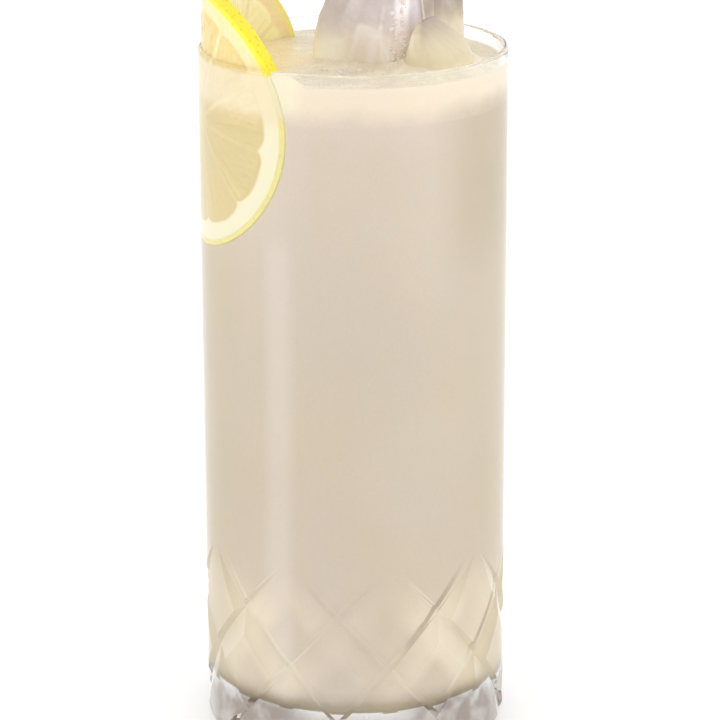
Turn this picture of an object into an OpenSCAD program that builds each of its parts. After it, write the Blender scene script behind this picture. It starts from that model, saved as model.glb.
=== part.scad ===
// A tall straight glass of cloudy lemonade: a pressed clear tumbler with a lattice
// of diagonal wedge cuts round its lower third, filled almost to the rim, with a
// pale froth layer on top, two lemon wheels bent along the inside of the wall and
// three blocks of ice standing out of the drink.
// Millimetres. Z is up, the foot rests on Z = 0, the front of the glass is -Y.

/* [Glass] */
// Outside width of the straight wall
glass_width = 66; // [54:1:82]
// Height of the glass from foot to rim
glass_height = 152; // [120:1:190]
// Thickness of the wall at the rim
rim_wall = 1.4; // [1:0.1:2.4]
// Thickness of the wall behind the cut pattern
foot_wall = 2.8; // [2.2:0.1:4.5]
// Height over which the thin wall grows into the thick one
thickening_height = 28; // [10:1:40]
// Thickness of the solid base
base_thickness = 10.5; // [6:0.5:20]
// Rounding of the outer edge of the foot
foot_rounding = 2.5; // [1:0.1:4]
// Rounding between the floor and the wall inside
floor_rounding = 4; // [2:0.5:12]

/* [Cut pattern] */
// Number of wedge cuts in each of the two directions
cuts_each_way = 9; // [6:1:12]
// Height of the pointed tips above the foot
cut_tip_height = 44; // [30:1:56]
// Height of full wall thickness left above the tips
tip_margin = 2; // [0.5:0.5:8]
// Slope of the cuts, from level
cut_slope = 46.6; // [35:0.1:60]
// Depth of a cut at its full width
cut_depth = 0.9; // [0.3:0.1:1.5]
// Width of the steep facet above the root of a cut
steep_facet = 1.2; // [0.6:0.1:3]
// Width of the wide facet below the root of a cut
wide_facet = 4.6; // [2:0.1:7]
// Length over which a cut grows from its pointed tip
tip_length = 24; // [8:1:36]
// Distance between the two cuts that start side by side at a tip
tip_gap = 2.4; // [0.5:0.1:4]
// Extra depth of the cuts of the second direction
second_deeper = 0.06; // [0.02:0.01:0.2]
// Turn of the pattern, from the front towards the right
pattern_turn = 13; // [0:1:40]

/* [Lemonade] */
// Distance from the rim down to the top of the drink
fill_below_rim = 3; // [1:0.5:40]
// Depth of the pale froth layer
froth_depth = 8; // [3:0.5:16]

/* [Lemon wheels] */
// Width of the front wheel measured flat
front_wheel_width = 55; // [40:1:64]
// Width of the rear wheel measured flat
rear_wheel_width = 45; // [36:1:60]
// Thickness of a lemon wheel
wheel_thickness = 2.6; // [2:0.1:7]
// Clearance between the front wheel and the wall
wall_clearance = 0.2; // [0.1:0.05:0.6]
// Clearance between the two wheels
wheel_clearance = 0.3; // [0.2:0.05:1]
// Turn of the front wheel, from the front towards the left
front_wheel_turn = 77; // [40:0.5:110]
// Distance from the rim down to the middle of the front wheel
front_wheel_drop = 14; // [4:0.5:24]
// Turn of the rear wheel, from the front towards the left
rear_wheel_turn = 105.5; // [70:0.5:130]
// Distance from the rim down to the middle of the rear wheel
rear_wheel_drop = 8.5; // [4:0.5:24]

/* [Ice] */
// Turn of the packed ice, clockwise from above
ice_turn = 30; // [0:1:60]
// Clearance between neighbouring blocks
ice_clearance = 1.2; // [0.6:0.1:3]
// Clearance between the outer blocks and the wall
ice_wall_clearance = 1; // [0.4:0.1:4]
// Tall block: width
tall_width = 23.5; // [14:0.5:30]
// Tall block: depth
tall_depth = 18; // [12:0.5:22]
// Tall block: height
tall_height = 25; // [16:0.5:34]
// Tall block: top above the rim
tall_above_rim = 16; // [6:0.5:24]
// Tall block: slope of its melted left side, from upright
melt_slope = 24; // [5:1:35]
// Rear block: width
rear_width = 18; // [12:0.5:24]
// Rear block: depth
rear_depth = 15; // [8:0.5:18]
// Rear block: height
rear_height = 23; // [14:0.5:32]
// Rear block: top above the rim
rear_above_rim = 14; // [4:0.5:22]
// Rear block: its middle, along the packed ice
rear_along = 5; // [-4:0.5:10]
// Low block: width
low_width = 12; // [8:0.5:15]
// Low block: depth
low_depth = 18; // [12:0.5:24]
// Low block: height
low_height = 24; // [14:0.5:30]
// Low block: top above the rim
low_above_rim = 8; // [1:0.5:12]
// Low block: slope of its melted right side, from upright
low_melt_slope = 50; // [20:1:60]
// Low block: its middle, across the packed ice
low_across = -2; // [-8:0.5:4]
// Width of the melted edges of the ice
ice_edge = 2.4; // [1:0.1:4]

/* [Hidden] */

outer_radius = glass_width / 2;
inner_radius = outer_radius - rim_wall;
thick_wall_to = cut_tip_height + tip_margin;
thin_wall_from = thick_wall_to + thickening_height;
cut_inner_radius = outer_radius - foot_wall;
fill_level = glass_height - fill_below_rim;
froth_bottom = fill_level - froth_depth;
front_wheel_outside = inner_radius - wall_clearance;
front_wheel_inside = front_wheel_outside - wheel_thickness;
rear_wheel_outside = front_wheel_inside - wheel_clearance;
rear_wheel_inside = rear_wheel_outside - wheel_thickness;
overshoot = 1;
arc_steps = 12;

// The low and the rear block stand against the wall, and the tall one against both
ice_reach = inner_radius - ice_wall_clearance;
low_outer_face = sqrt(pow(ice_reach, 2) - pow(abs(low_across) + low_depth / 2, 2));
low_along = low_outer_face - low_width / 2;
rear_outer_face = sqrt(pow(ice_reach, 2) - pow(abs(rear_along) + rear_width / 2, 2));
rear_across = rear_outer_face - rear_depth / 2;
tall_along = low_along - low_width / 2 - ice_clearance - tall_width / 2;
tall_across = rear_across - rear_depth / 2 - ice_clearance - tall_depth / 2;

$fn = 96;

// ---------- Glass ----------

function eased(t) = (1 - cos(180 * t)) / 2;

// Half outline of the hollow of the glass, from the floor up past the rim
function hollow_outline(top) = concat(
    [[0, base_thickness]],
    [for (i = [0:arc_steps])
        let (a = -90 + 90 * i / arc_steps)
        [cut_inner_radius - floor_rounding + floor_rounding * cos(a),
         base_thickness + floor_rounding + floor_rounding * sin(a)]],
    [for (i = [0:arc_steps])
        let (t = i / arc_steps)
        [cut_inner_radius + (inner_radius - cut_inner_radius) * eased(t),
         thick_wall_to + (thin_wall_from - thick_wall_to) * t]],
    [[inner_radius, top], [0, top]]);

module hollow(top) {
    rotate_extrude() polygon(hollow_outline(top));
}

module glass_section() {
    difference() {
        union() {
            square([outer_radius - foot_rounding, foot_rounding + overshoot]);
            translate([outer_radius - foot_rounding, foot_rounding])
                circle(foot_rounding);
            translate([0, foot_rounding])
                square([outer_radius, glass_height - foot_rounding - rim_wall / 2]);
            translate([outer_radius - rim_wall / 2, glass_height - rim_wall / 2])
                circle(rim_wall / 2);
        }
        polygon(hollow_outline(glass_height - rim_wall / 2));
        translate([0, glass_height - rim_wall / 2 - 0.001])
            square([outer_radius - rim_wall / 2, overshoot]);
    }
}

// One wedge cut follows the wall downwards from its tip. Across the cut there
// are five corners: the root, the two facet edges just outside the wall and
// the two corners that close the cutter farther out.
cut_drop = cut_tip_height + overshoot;
cut_length = cut_drop / sin(cut_slope);
cut_start = 0.06;

function cut_growth(run) = max(cut_start, sin(90 * min(1, run / tip_length)));

// A point of the cutter, from its run along the cut, side step and radius
function cut_point(run, side, radius) =
    let (arc = tip_gap / 2 + run * cos(cut_slope) + side * sin(cut_slope),
         turn = arc / outer_radius * 180 / PI)
    [radius * sin(turn), -radius * cos(turn),
     cut_tip_height - run * sin(cut_slope) + side * cos(cut_slope)];

function cut_corners(run, full_depth) =
    let (g = cut_growth(run),
         lift = 1 + 0.1 / (full_depth * g),
         up = steep_facet * g * lift,
         down = wide_facet * g * lift)
    [cut_point(run, 0, outer_radius - full_depth * g),
     cut_point(run, up, outer_radius + 0.1),
     cut_point(run, up, outer_radius + overshoot),
     cut_point(run, -down, outer_radius + overshoot),
     cut_point(run, -down, outer_radius + 0.1)];

module wedge_cut(full_depth, steps) {
    points = [for (s = [0:steps]) each cut_corners(cut_length * s / steps, full_depth)];
    sides = [for (s = [0:steps - 1], c = [0:4])
             let (a = 5 * s + c, b = 5 * s + (c + 1) % 5)
             each [[a, a + 5, b], [b, a + 5, b + 5]]];
    last = 5 * steps;
    caps = [for (c = [1:3]) each [[0, c, c + 1], [last, last + c + 1, last + c]]];
    polyhedron(points, concat(sides, caps));
}

module glass() {
    color([0.86, 0.92, 0.92, 0.45])
    difference() {
        rotate_extrude() glass_section();
        for (i = [0:cuts_each_way - 1])
            rotate([0, 0, pattern_turn + i * 360 / cuts_each_way]) {
                wedge_cut(cut_depth, 10);
                mirror([1, 0, 0]) wedge_cut(cut_depth + second_deeper, 11);
            }
    }
}

// ---------- Lemon wheels ----------

// A ring-shaped wall, from which the bent wheels are taken
module ring(inside, outside, low, high) {
    translate([0, 0, low]) difference() {
        cylinder(r = outside, h = high - low);
        translate([0, 0, -overshoot]) cylinder(r = inside, h = high - low + 2 * overshoot);
    }
}

outline_steps = 48;

// Corners of a round outline laid along a curved wall, all at one radius
function bent_outline(width, bend, radius, height) =
    [for (i = [0:outline_steps - 1])
        let (a = 360 * (i + 0.5) / outline_steps,
             turn = width / 2 * cos(a) / bend * 180 / PI)
        [radius * sin(turn), -radius * cos(turn), height + width / 2 * sin(a)]];

// A body whose sides all run straight towards the axis of the glass
module outline_body(width, bend, height) {
    near = 5;
    far = outer_radius + 6;
    n = outline_steps;
    points = concat(
        bent_outline(width, bend, near, height),
        bent_outline(width, bend, far, height),
        [[0, -near / 2, height], [0, -far - 4, height]]);
    sides = [for (i = [0:n - 1])
             let (j = (i + 1) % n)
             each [[i, n + j, j], [i, n + i, n + j], [i, j, 2 * n], [n + j, n + i, 2 * n + 1]]];
    polyhedron(points, sides);
}

// A disc of lemon bent to the curve of the wall, or the space it takes
module bent_wheel(width, inside, outside, drop, turn) {
    height = glass_height - drop;
    rotate([0, 0, -turn])
    intersection() {
        ring(inside, outside, height - width / 2 - overshoot, height + width / 2 + overshoot);
        outline_body(width, (inside + outside) / 2, height);
    }
}

module lemon_wheel_front() {
    color([0.98, 0.9, 0.35])
    bent_wheel(front_wheel_width, front_wheel_inside, front_wheel_outside,
               front_wheel_drop, front_wheel_turn);
}

module lemon_wheel_rear() {
    color([0.96, 0.86, 0.4])
    bent_wheel(rear_wheel_width, rear_wheel_inside, rear_wheel_outside,
               rear_wheel_drop, rear_wheel_turn);
}

// ---------- Ice ----------

module cut_corner_face(width, height) {
    x = width / 2;
    y = height / 2;
    e = ice_edge;
    polygon([[-x + e, -y], [x - e, -y], [x, -y + e], [x, y - e],
             [x - e, y], [-x + e, y], [-x, y - e], [-x, -y + e]]);
}

// A block with all edges melted off, centred on its middle
module ice_block(width, depth, height) {
    intersection() {
        linear_extrude(height, center = true) cut_corner_face(width, depth);
        rotate([90, 0, 0])
            linear_extrude(depth, center = true) cut_corner_face(width, height);
        rotate([90, 0, 90])
            linear_extrude(width, center = true) cut_corner_face(depth, height);
    }
}

module in_the_pack(along, across, above_rim, height) {
    rotate([0, 0, -ice_turn])
    translate([along, across, glass_height + above_rim - height / 2])
        children();
}

module ice_tall() {
    color([0.85, 0.88, 0.9, 0.7])
    in_the_pack(tall_along, tall_across, tall_above_rim, tall_height)
    difference() {
        ice_block(tall_width, tall_depth, tall_height);
        translate([-tall_width / 2, 0, tall_height / 2 - tall_above_rim])
            rotate([0, melt_slope, 0])
            translate([-tall_width, -tall_depth, 0])
            cube([tall_width, 2 * tall_depth, 2 * tall_height]);
    }
}

module ice_rear() {
    color([0.85, 0.88, 0.9, 0.7])
    in_the_pack(rear_along, rear_across, rear_above_rim, rear_height)
        ice_block(rear_width, rear_depth, rear_height);
}

module ice_low() {
    color([0.85, 0.88, 0.9, 0.7])
    in_the_pack(low_along, low_across, low_above_rim, low_height)
    difference() {
        ice_block(low_width, low_depth, low_height);
        translate([low_width / 2, 0, low_height / 2 - low_above_rim])
            rotate([0, -low_melt_slope, 0])
            translate([0, -low_depth, 0])
            cube([2 * low_width, 2 * low_depth, 2 * low_height]);
    }
}

// ---------- Drink ----------

// The drink between two levels, cut round everything that stands in it
module drink(bottom, top) {
    difference() {
        intersection() {
            hollow(top);
            translate([0, 0, bottom])
                cylinder(r = outer_radius, h = top - bottom);
        }
        bent_wheel(front_wheel_width, front_wheel_inside, outer_radius,
                   front_wheel_drop, front_wheel_turn);
        lemon_wheel_rear();
        ice_tall();
        ice_rear();
        ice_low();
    }
}

module lemonade() {
    color([0.87, 0.82, 0.7])
    drink(0, froth_bottom);
}

module froth() {
    color([0.97, 0.93, 0.85])
    drink(froth_bottom, fill_level);
}

glass();
lemonade();
froth();
lemon_wheel_front();
lemon_wheel_rear();
ice_tall();
ice_rear();
ice_low();
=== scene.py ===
import math
import random

import bmesh
import bpy
from mathutils import Matrix, Vector, noise


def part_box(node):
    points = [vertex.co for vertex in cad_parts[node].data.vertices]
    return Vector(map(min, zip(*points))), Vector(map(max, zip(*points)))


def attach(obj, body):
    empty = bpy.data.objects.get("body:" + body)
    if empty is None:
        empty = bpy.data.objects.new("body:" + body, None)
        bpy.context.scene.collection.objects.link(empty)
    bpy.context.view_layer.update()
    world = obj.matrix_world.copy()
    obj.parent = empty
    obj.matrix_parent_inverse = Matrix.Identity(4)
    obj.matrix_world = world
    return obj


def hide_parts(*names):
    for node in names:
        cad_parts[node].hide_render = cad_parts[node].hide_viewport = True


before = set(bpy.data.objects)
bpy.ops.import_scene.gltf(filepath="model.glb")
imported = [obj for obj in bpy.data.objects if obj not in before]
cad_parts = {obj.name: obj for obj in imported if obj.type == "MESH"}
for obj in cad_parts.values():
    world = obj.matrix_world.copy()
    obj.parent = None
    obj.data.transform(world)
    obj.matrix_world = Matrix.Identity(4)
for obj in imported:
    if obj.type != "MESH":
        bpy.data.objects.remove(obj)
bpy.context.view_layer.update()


# ---------------------------------------------------------------- the glass
# A pressed clear tumbler with a thin fire-polished rim and a thick base. It is
# turned in one piece, then wedge cuts in two directions are ground round its foot.

MM = 0.001


class Wire:
    """An output of a finish's nodes that can be used in sums."""

    def __init__(self, finish, socket):
        self.finish = finish
        self.socket = socket

    def _sum(self, operation, *others):
        values = {i: v for i, v in enumerate((self,) + others)}
        return self.finish.node("ShaderNodeMath", {"operation": operation}, values)

    def __add__(self, other):
        return self._sum("ADD", other)

    __radd__ = __add__

    def __sub__(self, other):
        return self._sum("SUBTRACT", other)

    def __rsub__(self, other):
        return self.finish.node("ShaderNodeMath", {"operation": "SUBTRACT"}, {0: other, 1: self})

    def __mul__(self, other):
        return self._sum("MULTIPLY", other)

    __rmul__ = __mul__

    def __truediv__(self, other):
        return self._sum("DIVIDE", other)

    def __pow__(self, other):
        return self._sum("POWER", other)

    def __abs__(self):
        return self._sum("ABSOLUTE")

    def least(self, other):
        return self._sum("MINIMUM", other)

    def ramp(self, low, high, out_low=0.0, out_high=1.0):
        """Eased from one value to another while this goes from low to high."""
        return self.finish.node(
            "ShaderNodeMapRange", {"interpolation_type": "SMOOTHSTEP"},
            {0: self, 1: low, 2: high, 3: out_low, 4: out_high})


class Finish:
    """One material, built from nodes."""

    def __init__(self, name):
        self.material = bpy.data.materials.new(name)
        self.material.use_nodes = True
        self.tree = self.material.node_tree
        self.tree.nodes.clear()
        self.output = self.tree.nodes.new("ShaderNodeOutputMaterial")

    def node(self, kind, settings=None, values=None, out=0):
        made = self.tree.nodes.new(kind)
        for key, value in (settings or {}).items():
            setattr(made, key, value)
        for key, value in (values or {}).items():
            if isinstance(value, Wire):
                self.tree.links.new(value.socket, made.inputs[key])
            else:
                made.inputs[key].default_value = value
        return Wire(self, made.outputs[out])

    def place(self, scale=1000.0):
        """Object coordinates, in millimetres unless another scale is asked for."""
        spot = self.node("ShaderNodeTexCoord", out="Object")
        return self.scaled(spot, (scale, scale, scale))

    def scaled(self, vector, scale):
        return self.node("ShaderNodeVectorMath", {"operation": "MULTIPLY"}, {0: vector, 1: scale})

    def axes(self, vector):
        return [self.node("ShaderNodeSeparateXYZ", None, {0: vector}, out=i) for i in range(3)]

    def noise(self, vector, scale, detail=3.0, rough=0.5):
        return self.node("ShaderNodeTexNoise", None,
                         {"Vector": vector, "Scale": scale, "Detail": detail, "Roughness": rough})

    def cells(self, vector, scale, feature="F1", spread=1.0):
        return self.node("ShaderNodeTexVoronoi", {"feature": feature},
                         {"Vector": vector, "Scale": scale, "Randomness": spread})

    def blend(self, amount, first, second):
        return self.node("ShaderNodeMix", {"data_type": "RGBA"},
                         {0: amount, 6: first, 7: second}, out=2)

    def bump(self, height, distance, strength=1.0):
        return self.node("ShaderNodeBump", None,
                         {"Height": height, "Distance": distance, "Strength": strength})

    def shader(self, values):
        return self.node("ShaderNodeBsdfPrincipled", None, values)

    def done(self, surface):
        self.tree.links.new(surface.socket, self.output.inputs["Surface"])
        return self.material


def tone(red, green, blue):
    """A colour given the way a screen shows it, 0 to 255."""
    def linear(value):
        value /= 255.0
        return value / 12.92 if value <= 0.04045 else ((value + 0.055) / 1.055) ** 2.4
    return (linear(red), linear(green), linear(blue), 1.0)


def light_through(finish, surface, tint):
    """Lets lamps shine through a clear piece, which would else throw a black shadow."""
    clear = finish.node("ShaderNodeBsdfTransparent", None, {"Color": tint})
    shadow = finish.node("ShaderNodeLightPath", out="Is Shadow Ray")
    return finish.node("ShaderNodeMixShader", None, {0: shadow, 1: surface, 2: clear})


def clear_glass():
    finish = Finish("clear_pressed_glass")
    spot = finish.place()
    x, y, height = finish.axes(spot)
    waves = finish.noise(finish.scaled(spot, (1.0, 1.0, 0.35)), 0.09, 2.0)
    smears = finish.noise(finish.scaled(spot, (1.0, 1.0, 0.4)), 0.16, 6.0, 0.65)
    handled = height.ramp(96.0, 150.0) * smears.ramp(0.52, 0.72)
    # The thick base is painted darker, with dark patches low down: painted shade and painted dark
    # refractions of the surroundings.
    refraction_mottle = finish.noise(spot, 0.2, 3.0, 0.5).ramp(0.3, 0.6)
    dark_refraction_patches = abs(x * y).ramp(220.0, 480.0) * refraction_mottle
    body = finish.blend(height.ramp(9.0, 13.0), (0.5, 0.44, 0.4, 1), (0.985, 0.995, 0.99, 1))
    body = finish.blend(dark_refraction_patches * height.ramp(11.5, 14.5, 1.0, 0.0), body, (0.2, 0.155, 0.125, 1))
    surface = finish.shader({
        "Base Color": body,
        "Roughness": handled * 0.05 + 0.01,
        "IOR": 1.5,
        "Transmission Weight": 1.0,
        "Normal": finish.bump(waves, 0.00015, 0.35)})
    return finish.done(light_through(finish, surface, (0.96, 0.97, 0.96, 1)))


def turned(outline, steps):
    """A closed round piece from its half outline of (radius, height) corners."""
    made = bmesh.new()
    corners = [made.verts.new((r, 0.0, z)) for r, z in outline]
    edges = [made.edges.new(pair) for pair in zip(corners, corners[1:])]
    bmesh.ops.spin(made, geom=corners + edges, cent=(0, 0, 0), axis=(0, 0, 1),
                   angle=math.tau, steps=steps, use_merge=True, use_duplicate=False)
    bmesh.ops.remove_doubles(made, verts=made.verts, dist=1e-6)
    bmesh.ops.recalc_face_normals(made, faces=made.faces)
    return made


def piece(name, made, finish, sharp=40):
    """Turns a worked mesh into a finished piece that rides with the glass."""
    for face in made.faces:
        face.smooth = True
    for edge in made.edges:
        edge.smooth = len(edge.link_faces) < 2 or edge.calc_face_angle(0.0) < math.radians(sharp)
    mesh = bpy.data.meshes.new(name)
    made.to_mesh(mesh)
    made.free()
    mesh.materials.append(finish)
    thing = bpy.data.objects.new(name, mesh)
    bpy.context.scene.collection.objects.link(thing)
    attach(thing, "root")
    return thing


def wall_radius(height):
    """Inner radius of the tumbler at a height."""
    part = (height - THICK_WALL_TO) / (THIN_WALL_FROM - THICK_WALL_TO)
    part = min(1.0, max(0.0, part))
    eased = (1 - math.cos(math.pi * part)) / 2
    return FOOT_INNER_RADIUS + (INNER_RADIUS - FOOT_INNER_RADIUS) * eased


def rounded(centre_r, centre_z, radius, start, end, steps):
    """Corners along an arc of the half outline, its turns in degrees."""
    turns = [math.radians(start + (end - start) * i / steps) for i in range(steps + 1)]
    return [(centre_r + radius * math.cos(a), centre_z + radius * math.sin(a)) for a in turns]


glass_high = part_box("glass")[1]
OUTER_RADIUS = glass_high.x
RIM = glass_high.z
INNER_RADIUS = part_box("froth")[1].x
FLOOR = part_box("lemonade")[0].z
RIM_WALL = OUTER_RADIUS - INNER_RADIUS
FOOT_INNER_RADIUS = OUTER_RADIUS - 2.8 * MM
FOOT_ROUNDING = 2.5 * MM
FLOOR_ROUNDING = 4 * MM
THICK_WALL_TO = 46 * MM
THIN_WALL_FROM = 74 * MM
GLASS_AROUND = 240

glass_outline = [(0.0, 0.0)]
glass_outline += rounded(OUTER_RADIUS - FOOT_ROUNDING, FOOT_ROUNDING, FOOT_ROUNDING, -90, 0, 8)
glass_outline += [(OUTER_RADIUS, 60 * MM), (OUTER_RADIUS, 100 * MM)]
glass_outline += rounded(OUTER_RADIUS - RIM_WALL / 2, RIM - RIM_WALL / 2, RIM_WALL / 2, 0, 180, 14)
glass_outline += [(INNER_RADIUS, 100 * MM)]
glass_outline += [(wall_radius(z * MM), z * MM) for z in range(74, 45, -2)]
glass_outline += rounded(FOOT_INNER_RADIUS - FLOOR_ROUNDING, FLOOR + FLOOR_ROUNDING,
                         FLOOR_ROUNDING, 0, -90, 8)
glass_outline += [(0.0, FLOOR)]
glass_mesh = turned(glass_outline, GLASS_AROUND)

CUTS_EACH_WAY = 9
CUT_STEPS = 40
CUT_TIP = 44.0
CUT_SLOPE = math.radians(46.6)
CUT_DEPTH = 0.9
SECOND_DEEPER = 0.06
STEEP_FACET = 1.2
WIDE_FACET = 4.6
TIP_LENGTH = 24.0
TIP_GAP = 2.4
PATTERN_TURN = 13.0
OVERSHOOT = 1.0
OVERLAP = 0.1


def cut_section(run, depth, side_way, turn):
    """Corners of the grinding wheel's edge at a place along a cut."""
    growth = max(0.06, math.sin(math.pi / 2 * min(1.0, run / TIP_LENGTH)))
    lift = growth * (1 + OVERLAP / (depth * growth))
    wall = OUTER_RADIUS / MM
    near, far = wall + OVERLAP, wall + OVERSHOOT
    up, down = STEEP_FACET * lift, -WIDE_FACET * lift
    corners = []
    for side, radius in ((0.0, wall - depth * growth), (up, near), (up, far), (down, far), (down, near)):
        arc = TIP_GAP / 2 + run * math.cos(CUT_SLOPE) + side * math.sin(CUT_SLOPE)
        around = math.radians(turn) + side_way * arc / wall
        height = CUT_TIP - run * math.sin(CUT_SLOPE) + side * math.cos(CUT_SLOPE)
        corners.append(Vector((radius * math.sin(around), -radius * math.cos(around), height)) * MM)
    return corners


cutter_mesh = bmesh.new()
cut_length = (CUT_TIP + OVERSHOOT) / math.sin(CUT_SLOPE)
for number in range(CUTS_EACH_WAY):
    for side_way, depth in ((1, CUT_DEPTH), (-1, CUT_DEPTH + SECOND_DEEPER)):
        turn = PATTERN_TURN + number * 360 / CUTS_EACH_WAY
        start = bmesh.ops.create_circle(cutter_mesh, cap_ends=True, radius=MM, segments=5)
        face = start["verts"][0].link_faces[0]
        for step in range(CUT_STEPS + 1):
            if step:
                grown = bmesh.ops.extrude_face_region(cutter_mesh, geom=[face])
                if step > 1:
                    bmesh.ops.delete(cutter_mesh, geom=[face], context="FACES_ONLY")
                face = [part for part in grown["geom"] if isinstance(part, bmesh.types.BMFace)][0]
            run = cut_length * step / CUT_STEPS
            for vert, corner in zip(face.verts, cut_section(run, depth, side_way, turn)):
                vert.co = corner
bmesh.ops.recalc_face_normals(cutter_mesh, faces=cutter_mesh.faces)

cutters = bpy.data.meshes.new("cutters")
cutter_mesh.to_mesh(cutters)
cutter_mesh.free()
uncut = bpy.data.meshes.new("uncut")
glass_mesh.to_mesh(uncut)
glass_mesh.free()
cutter_thing = bpy.data.objects.new("cutters", cutters)
uncut_thing = bpy.data.objects.new("uncut", uncut)
for thing in (cutter_thing, uncut_thing):
    bpy.context.scene.collection.objects.link(thing)
grind = uncut_thing.modifiers.new("grind", "BOOLEAN")
grind.operation = "DIFFERENCE"
grind.solver = "EXACT"
grind.use_self = True
grind.object = cutter_thing
ground = uncut_thing.evaluated_get(bpy.context.evaluated_depsgraph_get())
glass_mesh = bmesh.new()
glass_mesh.from_mesh(ground.to_mesh())
ground.to_mesh_clear()
bpy.data.objects.remove(cutter_thing)
bpy.data.objects.remove(uncut_thing)
glass = piece("tumbler", glass_mesh, clear_glass(), sharp=6)
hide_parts("glass")


# ---------------------------------------------------------------- the lemonade
# Cloudy lemonade that fills the tumbler to the froth. It reaches a hair into
# the wall, so that no air shows between the drink and the glass.

FROTH_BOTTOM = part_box("froth")[0].z
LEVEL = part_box("froth")[1].z
INTO_WALL = 0.1 * MM
AROUND = 192

DRINK_DEEP = tone(221, 206, 190)
DRINK_MIDDLE = tone(221, 208, 192)
DRINK_HIGH = tone(232, 217, 206)
DRINK_EDGE_SHADE = tone(206, 190, 155)
FROTH_PALE = tone(252, 236, 214)
FROTH_THICK = tone(254, 244, 218)
FACET_LIT = tone(246, 232, 210)
GLOW_REACH = 9.5
SUNK_BLOCKS = [((13, -17, 118), 20), ((-2, -12, 98), 12), ((9, -18, 66), -25), ((-12, 10, 84), 35)]


def facet_light(finish, spot, body):
    """Painted light and shade that the wedge cuts of the tumbler gather on the drink behind them."""
    x, y, height = finish.axes(spot)
    wall = OUTER_RADIUS / MM
    pitch = math.tau * wall / CUTS_EACH_WAY
    step = pitch * math.sin(CUT_SLOPE)
    turn = finish.node("ShaderNodeMath", {"operation": "ARCTAN2"}, {0: x, 1: y * -1.0})
    below = CUT_TIP - height
    lit = height.ramp(12.0, 18.0)
    sides = abs(x).ramp(4.0, 20.0, 0.15, 1.0) * lit
    outer = abs(x).ramp(17.0, 27.0) * height.ramp(30.0, 44.0, 1.0, 0.0) * lit
    body = finish.blend(outer * 0.8, body, FACET_LIT)
    for side_way in (1, -1):
        arc = (turn * wall - math.radians(PATTERN_TURN) * wall) * side_way - TIP_GAP / 2
        side = arc * math.sin(CUT_SLOPE) - below * math.cos(CUT_SLOPE) + GLOW_REACH
        number = finish.node("ShaderNodeMath", {"operation": "FLOOR"}, {0: side / step})
        side = side - number * step - GLOW_REACH
        run = (arc - number * pitch) * math.cos(CUT_SLOPE) + below * math.sin(CUT_SLOPE)
        grown = run.ramp(0.0, 14.0) * sides
        wide = side.ramp(-9.0, -5.0) * side.ramp(-0.25, 0.0, 1.0, 0.0) * grown
        body = finish.blend(wide * 0.8, body, tone(250, 236, 214))
        # The steep strip of each cut is a painted highlight, and painted shade where a cut running down
        # to the right is turned away at the right side.
        steep = side.ramp(0.0, 0.25) * side.ramp(1.1, 1.4, 1.0, 0.0) * grown
        turned_away = (x * -side_way).ramp(8.0, 12.0) * height.ramp(18.0, 26.0) * max(0, -side_way)
        strip = finish.blend(turned_away, tone(253, 242, 224), tone(186, 170, 148))
        body = finish.blend(steep * 0.9, body, strip)
    return body


def drink_colour(finish, spot):
    """Colour of the cloudy drink: paler upwards, with drifting haze and sunk ice, and with painted light
    and shade.
    """
    x, _, height = finish.axes(spot)
    drift = finish.noise(finish.scaled(spot, (1.0, 1.0, 0.6)), 0.045, 3.0, 0.55)
    body = finish.blend(height.ramp(30.0, 90.0), DRINK_DEEP, DRINK_MIDDLE)
    # Painted shade: darker near the floor of the tumbler.
    body = finish.blend(height.ramp(10.0, 17.0, 0.8, 0.0), body, tone(112, 100, 88))
    body = finish.blend(height.ramp(85.0, 141.0) * 0.8, body, DRINK_HIGH)
    body = finish.blend(drift.ramp(0.35, 0.7) * 0.3, body, tone(226, 209, 178))
    for middle, _ in SUNK_BLOCKS:
        away = finish.node("ShaderNodeVectorMath", {"operation": "DISTANCE"},
                           {0: spot, 1: middle}, out="Value")
        body = finish.blend(away.ramp(20.0, 13.0) * 0.22, body, tone(230, 219, 206))
    # Painted reflection: a pale upright streak at the left, as of a lamp mirrored in the glass.
    streak = x.ramp(-19.5, -16.5) * x.ramp(-15.0, -11.5, 1.0, 0.0)
    streak = streak * height.ramp(112.0, 120.0, 1.0, 0.0)
    body = finish.blend(streak * 0.55, body, tone(240, 226, 218))
    shade = x.ramp(15.0, 27.0) * height.ramp(98.0, 122.0) * 0.5
    body = finish.blend(shade, body, tone(192, 175, 148))
    body = facet_light(finish, spot, body)
    # Painted shade: darker towards the drink's edges, where it is seen at a slant.
    facing = finish.node("ShaderNodeLayerWeight", None, {"Blend": 0.5}, out="Facing")
    return finish.blend(facing.ramp(0.05, 0.4) * 0.72, body, DRINK_EDGE_SHADE)


def frothy(finish, spot, body):
    """Goes over into the pale froth near the top, along an uneven edge."""
    x, _, height = finish.axes(spot)
    uneven = finish.noise(spot, 0.12, 4.0, 0.6)
    edge = height + (uneven - 0.5) * 5.0
    across = x + (uneven - 0.5) * 3.0
    pale = finish.blend(across.ramp(-12.5, -9.5, 1.0, 0.0), FROTH_PALE, FROTH_THICK)
    return finish.blend(edge.ramp(140.6, 146.0), body, pale)


def cloudy_drink(name):
    finish = Finish(name)
    spot = finish.place()
    body = frothy(finish, spot, drink_colour(finish, spot))
    pulp = finish.cells(spot, 1.1)
    specks = pulp.ramp(0.06, 0.2, 1.0, 0.0) * finish.noise(spot, 0.5).ramp(0.5, 0.62)
    grain = finish.noise(spot, 2.5, 4.0, 0.6)
    surface = finish.shader({
        "Base Color": finish.blend(specks * 0.25, body, tone(250, 240, 214)),
        "Roughness": grain.ramp(0.3, 0.7, 0.22, 0.38),
        "IOR": 1.34,
        "Normal": finish.bump(grain, 0.0001, 0.2)})
    return finish.done(surface)


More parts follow.
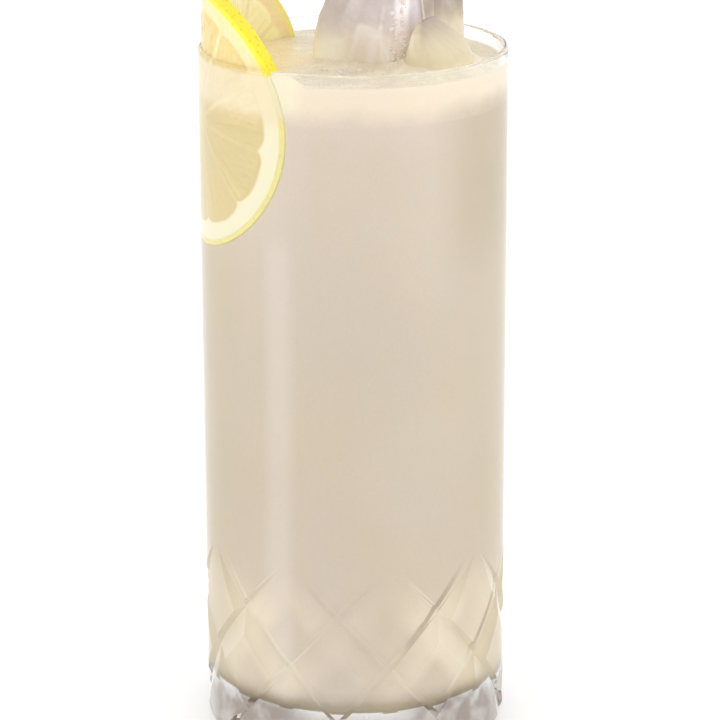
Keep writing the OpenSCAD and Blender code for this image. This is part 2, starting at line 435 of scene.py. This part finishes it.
drink_outline = [(0.0, FLOOR - INTO_WALL)]
for step in range(13):
    angle = math.radians(-90 + 90 * step / 12)
    drink_outline.append((
        FOOT_INNER_RADIUS - FLOOR_ROUNDING + (FLOOR_ROUNDING + INTO_WALL) * math.cos(angle),
        FLOOR + FLOOR_ROUNDING + (FLOOR_ROUNDING + INTO_WALL) * math.sin(angle)))
drink_heights = [28 * MM + 4 * MM * i for i in range(28)] + [FROTH_BOTTOM]
for height in drink_heights:
    drink_outline.append((wall_radius(height) + INTO_WALL, height))
drink_outline.append((0.0, FROTH_BOTTOM))
drink_mesh = turned(drink_outline, AROUND)
drink_finish = cloudy_drink("cloudy_lemonade_finish")
lemonade = piece("lemonade_drink", drink_mesh, drink_finish)
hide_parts("lemonade")


# ---------------------------------------------------------------- the froth
# The pale layer of fine bubbles on top of the drink. It creeps up the wall at
# the left, round the lemon wheels and round the ice.

froth_seed = Vector((3.1, 7.7, 1.3))
block_middles = []
for block in ("ice_tall", "ice_rear", "ice_low"):
    block_low, block_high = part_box(block)
    block_middles.append((block_low + block_high) / 2)


def spot_turn(x, y):
    """Turn from the front towards the right, in degrees."""
    return math.degrees(math.atan2(x, -y))


def step_between(value, low, high):
    part = min(1.0, max(0.0, (value - low) / (high - low)))
    return part * part * (3 - 2 * part)


def froth_rise(x, y):
    """How far the froth stands above its level at a place, in metres."""
    radius = math.hypot(x, y)
    turn = spot_turn(x, y)
    at_wall = step_between(radius, INNER_RADIUS - 3.5 * MM, INNER_RADIUS)
    rise = 0.1 * MM * at_wall
    left = step_between(turn, -112, -84) * (1 - step_between(turn, -24, -17))
    rise += 1.9 * MM * left * step_between(radius, INNER_RADIUS - 5 * MM, INNER_RADIUS - 0.5 * MM)
    for middle in block_middles:
        reach = math.hypot(x - middle.x, y - middle.y)
        rise += 0.9 * MM * (1 - step_between(reach, 9 * MM, 15 * MM)) * (1 - at_wall)
    middle = block_middles[2]
    reach = math.hypot(x - middle.x - 2 * MM, y - middle.y)
    inner = 1 - step_between(radius, INNER_RADIUS - 8 * MM, INNER_RADIUS - 1.5 * MM)
    rise += 2.6 * MM * (1 - step_between(reach, 5 * MM, 16 * MM)) * inner
    rough = noise.noise(Vector((x, y, 0)) * 260 + froth_seed) * 0.25 * MM
    rough += noise.noise(Vector((x, y, 0)) * 900 + froth_seed) * 0.1 * MM
    return rise + rough * (1 - 0.9 * at_wall)


froth_outline = [(0.0, FROTH_BOTTOM), (INNER_RADIUS + INTO_WALL, FROTH_BOTTOM)]
froth_outline += [(INNER_RADIUS + INTO_WALL, FROTH_BOTTOM + i * MM) for i in range(1, 8)]
ring_count = 54
for ring in range(ring_count + 1):
    part = 1 - ring / ring_count
    froth_outline.append(((INNER_RADIUS + INTO_WALL) * part ** 0.8, LEVEL))
froth_mesh = turned(froth_outline, AROUND)
for vert in froth_mesh.verts:
    if vert.co.z > LEVEL - 0.01 * MM:
        vert.co.z += froth_rise(vert.co.x, vert.co.y)
    elif vert.co.z > FROTH_BOTTOM + 0.5 * MM:
        part = (vert.co.z - FROTH_BOTTOM) / (LEVEL - FROTH_BOTTOM)
        vert.co.z += froth_rise(vert.co.x, vert.co.y) * part


def froth_finish():
    finish = Finish("froth_finish")
    spot = finish.place()
    x, y, height = finish.axes(spot)
    wall = (x * x + y * y) ** 0.5
    body = frothy(finish, spot, drink_colour(finish, spot))
    top = finish.blend(finish.noise(spot, 0.22, 5.0, 0.6).ramp(0.4, 0.68),
                       tone(226, 212, 186), tone(243, 231, 206))
    glow = x + abs(y + 2.0) * 0.35 + (finish.noise(spot, 0.12, 2.0) - 0.5) * 8.0
    top = finish.blend(glow.ramp(-13.0, -4.0, 0.75, 0.0), top, tone(250, 226, 170))
    body = finish.blend(wall.ramp(30.6, 31.5, 1.0, 0.0) * height.ramp(147.0, 148.6), body, top)
    bubbles = finish.cells(spot, 1.3)
    fine = finish.cells(spot, 3.4)
    foam = bubbles.ramp(0.1, 0.5) * 0.6 + fine.ramp(0.1, 0.6) * 0.4
    surface = finish.shader({
        "Base Color": finish.blend(foam * 0.12, body, tone(252, 243, 224)),
        "Roughness": foam.ramp(0.0, 1.0, 0.16, 0.4),
        "IOR": 1.34,
        "Normal": finish.bump(foam, 0.0002, 0.1)})
    return finish.done(surface)


froth = piece("lemonade_froth", froth_mesh, froth_finish())
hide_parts("froth")


# ---------------------------------------------------------------- lemon wheels
# Two slices cut across a lemon, with oily yellow rind, white pith, ten juicy
# segments in thin skins, bent along the wall and held by it and by the ice.

PITH = 3.3
SEGMENTS = 10
CORE = 2.4
SPREAD = 60.0


def segment_place(u, v):
    """Distance from the middle, place across a segment (-0.5 to 0.5)."""
    away = math.hypot(u, v)
    share = (math.atan2(v, u) / math.tau * SEGMENTS) % 1.0 - 0.5
    return away, share


def wheel_relief(u, v, radius, rind, seed):
    """How far the cut face stands out at a place, in millimetres."""
    away, share = segment_place(u, v)
    flesh_end = radius - rind - PITH - 1.3 * (abs(share) * 2) ** 4
    skin = (0.5 - abs(share)) * math.tau * away / SEGMENTS
    inside = step_between(skin, 0.25, 0.9) * step_between(away, CORE, CORE + 1.2)
    inside *= 1 - step_between(away, flesh_end - 0.9, flesh_end)
    sacs = noise.noise(Vector((u * 0.9, v * 0.9, seed))) * 0.1
    return -0.28 * inside + sacs * inside - 0.12 * step_between(away, radius - rind - 0.3, radius)


def lemon_wheel(node, inside, outside, turn, rind, seed, spin_by):
    """A disc bent along the wall, in the place of its node."""
    low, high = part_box(node)
    height = (low.z + high.z) / 2
    size = (high.z - low.z) / 2 / MM
    thick = outside - inside
    half = thick / 2
    edge = 0.55
    rings = int(size * 2) - 1
    outline = [(0.0, half)]
    outline += [(0.5 * i, half) for i in range(1, rings)]
    for step in range(1, 7):
        angle = math.radians(90 - 15 * step)
        outline.append((size - edge + edge * math.cos(angle), half - edge + edge * math.sin(angle)))
    outline += [(r, -z) for r, z in reversed(outline)]
    made = turned(outline, 180)
    flat = made.loops.layers.uv.new("flat")
    bend = (inside + outside) / 2
    plain = {}
    for vert in made.verts:
        u, v, w = vert.co
        plain[vert] = (u, v)
        if abs(w) > half - 0.05:
            w += math.copysign(wheel_relief(u, v, size, rind, seed), w)
        if math.hypot(u, v) > size - 0.4:
            pores = 1 - abs(noise.noise(Vector((u, v, w + seed)) * 1.6)) * 0.005
            u, v = u * pores, v * pores
        around = math.radians(-turn) + u / bend
        radius = (bend + w) * MM
        vert.co = (radius * math.sin(around), -radius * math.cos(around), height + v * MM)
    for face in made.faces:
        for loop in face.loops:
            u, v = plain[loop.vert]
            angle = math.radians(spin_by)
            loop[flat].uv = (0.5 + (u * math.cos(angle) - v * math.sin(angle)) / SPREAD,
                             0.5 + (u * math.sin(angle) + v * math.cos(angle)) / SPREAD)
    bmesh.ops.recalc_face_normals(made, faces=made.faces)
    return made


def lemon_finish(name, size, rind_width, veiled, warm, yellow):
    """Rind, pith, skins and flesh, painted in the flat plane of the wheel."""
    finish = Finish(name)
    flat = finish.node("ShaderNodeUVMap", {"uv_map": "flat"})
    across, along, _ = finish.axes(flat)
    u = (across - 0.5) * SPREAD
    v = (along - 0.5) * SPREAD
    away = (u * u + v * v) ** 0.5
    angle = finish.node("ShaderNodeMath", {"operation": "ARCTAN2"}, {0: v, 1: u})
    turns = angle * (SEGMENTS / math.tau) + 100.0
    share = finish.node("ShaderNodeMath", {"operation": "FRACT"}, {0: turns}) - 0.5
    spot = finish.place()
    fine = finish.noise(spot, 0.9, 4.0, 0.6)
    broad = finish.noise(spot, 0.16, 2.0)
    wide = abs(share) * 2.0
    flesh_end = (size - rind_width - PITH) - 1.3 * wide ** 4.0 + (broad - 0.5) * 1.2
    skin = (0.5 - abs(share)) * away * (math.tau / SEGMENTS)
    flesh = (skin + (fine - 0.5) * 0.3).ramp(0.25, 0.75)
    middle = (away - flesh_end).ramp(-0.5, 0.25, 1.0, 0.0)
    flesh = flesh * away.ramp(CORE, CORE + 0.9) * middle
    polar = finish.node("ShaderNodeCombineXYZ", None,
                        {0: angle * 9.0, 1: away * 0.28, 2: fine * 0.4})
    sacs = finish.cells(polar, 1.6)
    strands = finish.noise(polar, 2.4, 3.0)
    flesh_tone = finish.blend(sacs.ramp(0.15, 0.75), warm[0], warm[1])
    flesh_tone = finish.blend(strands.ramp(0.45, 0.75) * 0.5, flesh_tone, warm[2])
    pith_tone = finish.blend(fine.ramp(0.3, 0.75), tone(246, 230, 182), tone(242, 222, 160))
    near_rind = (away - (size - rind_width - 1.1)).ramp(0.0, 1.0)
    pith_tone = finish.blend(near_rind, pith_tone, tone(250, 236, 128))
    body = finish.blend(flesh, pith_tone, flesh_tone)
    pores = finish.cells(spot, 0.9)
    rind_tone = finish.blend(pores.ramp(0.05, 0.4), yellow[0], yellow[1])
    rind = (away + (fine - 0.5) * 0.35).ramp(size - rind_width - 0.25, size - rind_width + 0.2)
    body = finish.blend(rind, body, rind_tone)
    if veiled:
        height = finish.axes(spot)[2]
        uneven = finish.noise(spot, 0.14, 4.0, 0.6)
        level = height + (uneven - 0.5) * 3.0
        x, y, _ = finish.axes(spot)
        outer = ((x * x + y * y) ** 0.5).ramp(30.6, 31.1)
        froth_film = level.ramp(139.0, 144.0) * height.ramp(150.2, 151.4, 1.0, 0.0)
        body = finish.blend(froth_film * outer * 0.93, body, tone(250, 235, 202))
        wet_film = level.ramp(139.0, 144.0, 1.0, 0.0) * outer
        body = finish.blend(wet_film * middle * 0.88, body, tone(229, 212, 158))
        body = finish.blend(wet_film * (1 - middle) * (1 - rind) * 0.9, body, tone(255, 247, 222))
        body = finish.blend(wet_film * rind * 0.7, body, tone(250, 236, 182))
    pits = pores.ramp(0.0, 0.35) * rind * 0.6 + sacs * flesh * 0.7 + fine * 0.25
    surface = finish.shader({
        "Base Color": body,
        "Roughness": flesh.ramp(0.0, 1.0, 0.42, 0.2),
        "IOR": 1.38,
        "Subsurface Weight": 0.3,
        "Subsurface Radius": (1.0, 0.8, 0.35),
        "Subsurface Scale": 0.003,
        "Normal": finish.bump(pits, 0.0004, 0.5)})
    return finish.done(surface)


WALL_CLEARANCE = 0.2
WHEEL_THICKNESS = 2.6
WHEEL_CLEARANCE = 0.3
PRESSED_IN = 0.3
FRONT_RADIUS, FRONT_TURN, FRONT_RIND = 27.5, 77, 1.5
REAR_RADIUS, REAR_TURN, REAR_RIND = 22.5, 105.5, 0.8
wall = INNER_RADIUS / MM
front_inside = wall - WALL_CLEARANCE - WHEEL_THICKNESS
front_outside = wall + PRESSED_IN
rear_outside = front_inside - WHEEL_CLEARANCE
rear_inside = rear_outside - WHEEL_THICKNESS
front_flesh = (tone(228, 202, 128), tone(233, 209, 140), tone(240, 220, 160))
front_rind = (tone(232, 210, 40), tone(246, 232, 60))
front_look = lemon_finish("lemon_near_finish", FRONT_RADIUS, FRONT_RIND, True, front_flesh, front_rind)
front_mesh = lemon_wheel("lemon_wheel_front", front_inside, front_outside, FRONT_TURN, FRONT_RIND, 1.7, 8)
front_wheel = piece("lemon_wheel_near", front_mesh, front_look)
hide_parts("lemon_wheel_front")
rear_flesh = (tone(255, 241, 182), tone(255, 244, 190), tone(255, 247, 204))
rear_rind = (tone(240, 226, 150), tone(248, 236, 172))
rear_look = lemon_finish("lemon_far_finish", REAR_RADIUS, REAR_RIND, False, rear_flesh, rear_rind)
rear_mesh = lemon_wheel("lemon_wheel_rear", rear_inside, rear_outside, REAR_TURN, REAR_RIND, 5.2, 31)
rear_wheel = piece("lemon_wheel_far", rear_mesh, rear_look)
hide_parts("lemon_wheel_rear")


# ---------------------------------------------------------------- the ice
# Three blocks of wet ice that stand out of the drink, packed against the wall and
# each other, with melted edges, cloudy hearts and cracks.

def ice_finish(name, hue, left_foot, right_foot, cloud, cracked):
    finish = Finish(name)
    spot = finish.place()
    height = finish.axes(spot)[2]
    ripples = finish.noise(spot, 0.2, 3.0, 0.5)
    haze = finish.noise(spot, 0.08, 3.0, 0.5)
    cracks = finish.cells(finish.scaled(spot, (1.0, 1.0, 0.3)), 0.1, "DISTANCE_TO_EDGE")
    frost = cracks.ramp(0.0, 0.05, 1.0, 0.0) * haze.ramp(0.45, 0.6) * cracked
    x, y, _ = finish.axes(spot)
    x = x + (ripples - 0.5) * 1.5
    upper = height.ramp(152.0, 160.0) * height.ramp(165.5, 167.0, 1.0, 0.0)
    # A pale band along the front ridge: painted highlight, partly the white of its bubbles.
    ridge_highlight_and_bubbles = x.ramp(8.2, 9.2) * x.ramp(12.2, 12.9, 1.0, 0.0) * y.ramp(-10.5, -8.5, 1.0, 0.0)
    hue = finish.blend(ridge_highlight_and_bubbles, hue, tone(252, 244, 246))
    # Painted shade: the right face of the upper block is darker.
    hue = finish.blend(x.ramp(13.2, 14.6) * upper, hue, tone(176, 160, 148))
    streak = finish.noise(finish.scaled(spot, (1.0, 1.0, 0.3)), 0.5, 2.0).ramp(0.5, 0.6)
    streak = streak * x.ramp(16.0, 18.0) * height.ramp(158.0, 163.0) * cracked
    hue = finish.blend(streak * 0.8, hue, tone(128, 112, 58))
    relief = finish.bump(ripples + frost * 0.15, 0.001, 0.5)
    clear = finish.shader({
        "Base Color": (0.97, 0.965, 0.975, 1), "Roughness": haze.ramp(0.4, 0.7, 0.03, 0.2),
        "IOR": 1.31, "Transmission Weight": 1.0, "Normal": relief})
    foot = finish.blend(x.ramp(-4.5, 0.5), left_foot, right_foot)
    low = finish.blend(height.ramp(151.0, 161.0), foot, hue)
    cloudy = finish.shader({
        "Base Color": finish.blend(frost * 0.6, low, tone(246, 240, 236)),
        "Roughness": 0.18, "IOR": 1.31, "Normal": relief})
    amount = haze.ramp(0.35, 0.7, cloud - 0.2, cloud + 0.2) + frost * 0.25
    amount = (amount + height.ramp(150.0, 160.0, 0.6, 0.0) + ridge_highlight_and_bubbles * 0.25).least(1.0)
    surface = finish.node("ShaderNodeMixShader", None, {0: amount, 1: clear, 2: cloudy})
    return finish.done(light_through(finish, surface, (0.8, 0.8, 0.81, 1)))


def block_from(node, melt, softened, seed):
    """A worn copy of a block of ice: edges rounded, faces gently hollowed."""
    made = bmesh.new()
    made.from_mesh(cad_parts[node].data)
    bmesh.ops.remove_doubles(made, verts=made.verts, dist=0.01 * MM)
    bmesh.ops.dissolve_limit(made, angle_limit=math.radians(3), verts=made.verts, edges=made.edges)
    bmesh.ops.bevel(made, geom=list(made.edges), offset=melt, offset_type="OFFSET", segments=2,
                    profile=0.5, affect="EDGES", material=-1, clamp_overlap=True)
    bmesh.ops.triangulate(made, faces=made.faces)
    for _ in range(4):
        long_edges = [e for e in made.edges if e.calc_length() > 1.3 * MM]
        if not long_edges:
            break
        bmesh.ops.subdivide_edges(made, edges=long_edges, cuts=1)
        bmesh.ops.triangulate(made, faces=made.faces)
    for _ in range(softened):
        bmesh.ops.smooth_vert(made, verts=made.verts, factor=0.5,
                              use_axis_x=True, use_axis_y=True, use_axis_z=True)
    made.normal_update()
    for vert in made.verts:
        dent = noise.noise(vert.co * 130 + Vector((seed, 0, 0))) * 0.5 + 0.5
        dent += (noise.noise(vert.co * 420 + Vector((0, seed, 0))) * 0.5 + 0.5) * 0.25
        vert.co -= vert.normal * dent * 0.7 * MM
    return made


grey_ice = ice_finish(
    "wet_ice_finish", tone(232, 222, 224), tone(255, 252, 242), tone(238, 226, 212), 0.7, 1.0)
shaded_ice = ice_finish(
    "shaded_ice_finish", tone(196, 182, 166), tone(232, 220, 190), tone(232, 220, 190), 0.7, 0.7)
melted_ice = ice_finish(
    "melted_ice_finish", tone(226, 213, 180), tone(224, 209, 174), tone(224, 209, 174), 1.0, 0.0)
for node, look, melt, softened, seed in (
        ("ice_tall", grey_ice, 0.9, 6, 2.0), ("ice_rear", shaded_ice, 0.9, 6, 9.0),
        ("ice_low", melted_ice, 1.6, 90, 14.0)):
    block = piece(node + "_block", block_from(node, melt * MM, softened, seed), look)
    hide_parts(node)


# ---------------------------------------------------------------- the bubbles
# Small air bubbles frozen into the front corner of the tall block, and a few
# that float on the froth round the ice.


def bubble_finish():
    finish = Finish("air_bubble_finish")
    spot = finish.place()
    streaks = finish.noise(spot, 1.4, 3.0)
    clear = finish.shader({
        "Base Color": (0.98, 0.97, 0.96, 1), "Roughness": 0.02, "IOR": 1.2,
        "Transmission Weight": 1.0})
    milky = finish.shader({
        "Base Color": finish.blend(streaks, tone(252, 244, 238), tone(232, 222, 214)),
        "Roughness": 0.15})
    surface = finish.node("ShaderNodeMixShader", None,
                          {0: streaks.ramp(0.3, 0.7, 0.7, 1.0), 1: clear, 2: milky})
    return finish.done(light_through(finish, surface, (0.9, 0.9, 0.9, 1)))


chance = random.Random(5)
tall_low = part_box("ice_tall")[0]
tall_corners = [vert.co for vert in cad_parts["ice_tall"].data.vertices]
front_edge = min(tall_corners, key=lambda place: place.y)
bubble_spots = []
for number in range(60):
    place = Vector((front_edge.x, front_edge.y, tall_low.z + (8 + 16 * chance.random()) * MM))
    place += Vector((3.3, 0.8, 0)) * chance.random() * MM
    place += Vector((-0.26, 0.97, 0)) * (0.1 + 0.9 * chance.random()) * MM
    bubble_spots.append((place, 0.2 + 0.45 * chance.random() ** 2))
for number in range(26):
    turn = math.radians(-50 + 95 * chance.random())
    away = 13.5 + 5.0 * chance.random()
    x, y = away * math.sin(turn) * MM + 4 * MM, -away * math.cos(turn) * MM
    bubble_spots.append((Vector((x, y, LEVEL + froth_rise(x, y))), 0.2 + 0.6 * chance.random() ** 3))
bubble_mesh = bmesh.new()
for place, size in bubble_spots:
    bmesh.ops.create_icosphere(bubble_mesh, subdivisions=2, radius=size * MM,
                               matrix=Matrix.Translation(place))
piece("air_bubbles", bubble_mesh, bubble_finish(), sharp=180)


# ---------------------------------------------------------------- sunk ice
# More blocks lie sunk in the cloudy drink, under those that stand out of it. They
# only show as paler places in the lemonade.

SUNK_INWARD = 0.62
for number, (middle, turn) in enumerate(SUNK_BLOCKS):
    sunk = bmesh.new()
    bmesh.ops.create_cube(sunk, size=17 * MM)
    bmesh.ops.bevel(sunk, geom=list(sunk.edges), offset=2.4 * MM, offset_type="OFFSET", segments=4,
                    profile=0.5, affect="EDGES", material=-1)
    bmesh.ops.rotate(sunk, verts=sunk.verts, cent=(0, 0, 0),
                     matrix=Matrix.Rotation(math.radians(turn), 3, Vector((0.3, 0.2, 1.0))))
    x, y, z = middle
    bmesh.ops.translate(sunk, verts=sunk.verts,
                        vec=Vector((x * SUNK_INWARD, y * SUNK_INWARD, z)) * MM)
    piece(f"sunk_ice_{number}", sunk, grey_ice)


# ---------------------------------------------------------------- the studio
# A plain pale floor, soft white light from all round and a camera a little
# above the rim.

floor_mesh = bmesh.new()
bmesh.ops.create_grid(floor_mesh, x_segments=1, y_segments=1, size=6.0)
floor_data = bpy.data.meshes.new("studio_floor")
floor_mesh.to_mesh(floor_data)
floor_mesh.free()
studio_floor = bpy.data.objects.new("studio_floor", floor_data)
bpy.context.scene.collection.objects.link(studio_floor)
floor_finish = Finish("studio_floor_finish")
floor_surface = floor_finish.shader({
    "Base Color": (0.9, 0.9, 0.9, 1), "Roughness": 0.9,
    "Emission Color": (1, 1, 1, 1), "Emission Strength": 0.25})
floor_data.materials.append(floor_finish.done(floor_surface))


def soft_lamp(name, place, aim, width, tall, power):
    lamp = bpy.data.lights.new(name, "AREA")
    lamp.shape = "RECTANGLE"
    lamp.size = width
    lamp.size_y = tall
    lamp.energy = power
    thing = bpy.data.objects.new(name, lamp)
    bpy.context.scene.collection.objects.link(thing)
    thing.location = place
    thing.rotation_euler = (Vector(aim) - Vector(place)).to_track_quat("-Z", "Y").to_euler()
    return thing


soft_lamp("window_left", (-1.0, -0.4, 0.16), (0, 0, 0.1), 1.3, 0.32, 2.4)
soft_lamp("window_right", (1.0, -0.4, 0.16), (0, 0, 0.1), 1.3, 0.32, 2.4)
soft_lamp("sky_front", (0.12, -0.9, 0.72), (0, 0, 0.1), 0.9, 0.5, 1.5)

world = bpy.data.worlds.new("studio_light")
world.use_nodes = True
sky = world.node_tree.nodes
towards = sky.new("ShaderNodeTexCoord")
split = sky.new("ShaderNodeSeparateXYZ")
shade = sky.new("ShaderNodeMapRange")
shade.interpolation_type = "SMOOTHSTEP"
shade.inputs["From Min"].default_value = -1.0
shade.inputs["From Max"].default_value = -0.1
shade.inputs["To Min"].default_value = 0.5
shade.inputs["To Max"].default_value = 1.02
world.node_tree.links.new(towards.outputs["Generated"], split.inputs[0])
world.node_tree.links.new(split.outputs["Y"], shade.inputs["Value"])
world.node_tree.links.new(shade.outputs["Result"], sky["Background"].inputs["Strength"])
sky["Background"].inputs["Color"].default_value = (1.0, 1.0, 1.0, 1)
bpy.context.scene.world = world

camera_data = bpy.data.cameras.new("camera")
camera_data.sensor_width = 36
camera_data.lens = 163.6
camera_data.clip_end = 20
camera_data.shift_x = 0.0079
camera = bpy.data.objects.new("camera", camera_data)
bpy.context.scene.collection.objects.link(camera)
camera.location = (0, -0.683, RIM + 0.1397)
camera.rotation_euler = (math.radians(90 - 17.08), 0, 0)
camera.rotation_euler.rotate_axis("Z", math.radians(-0.224))
bpy.context.scene.camera = camera

bpy.context.scene.view_settings.view_transform = "Standard"
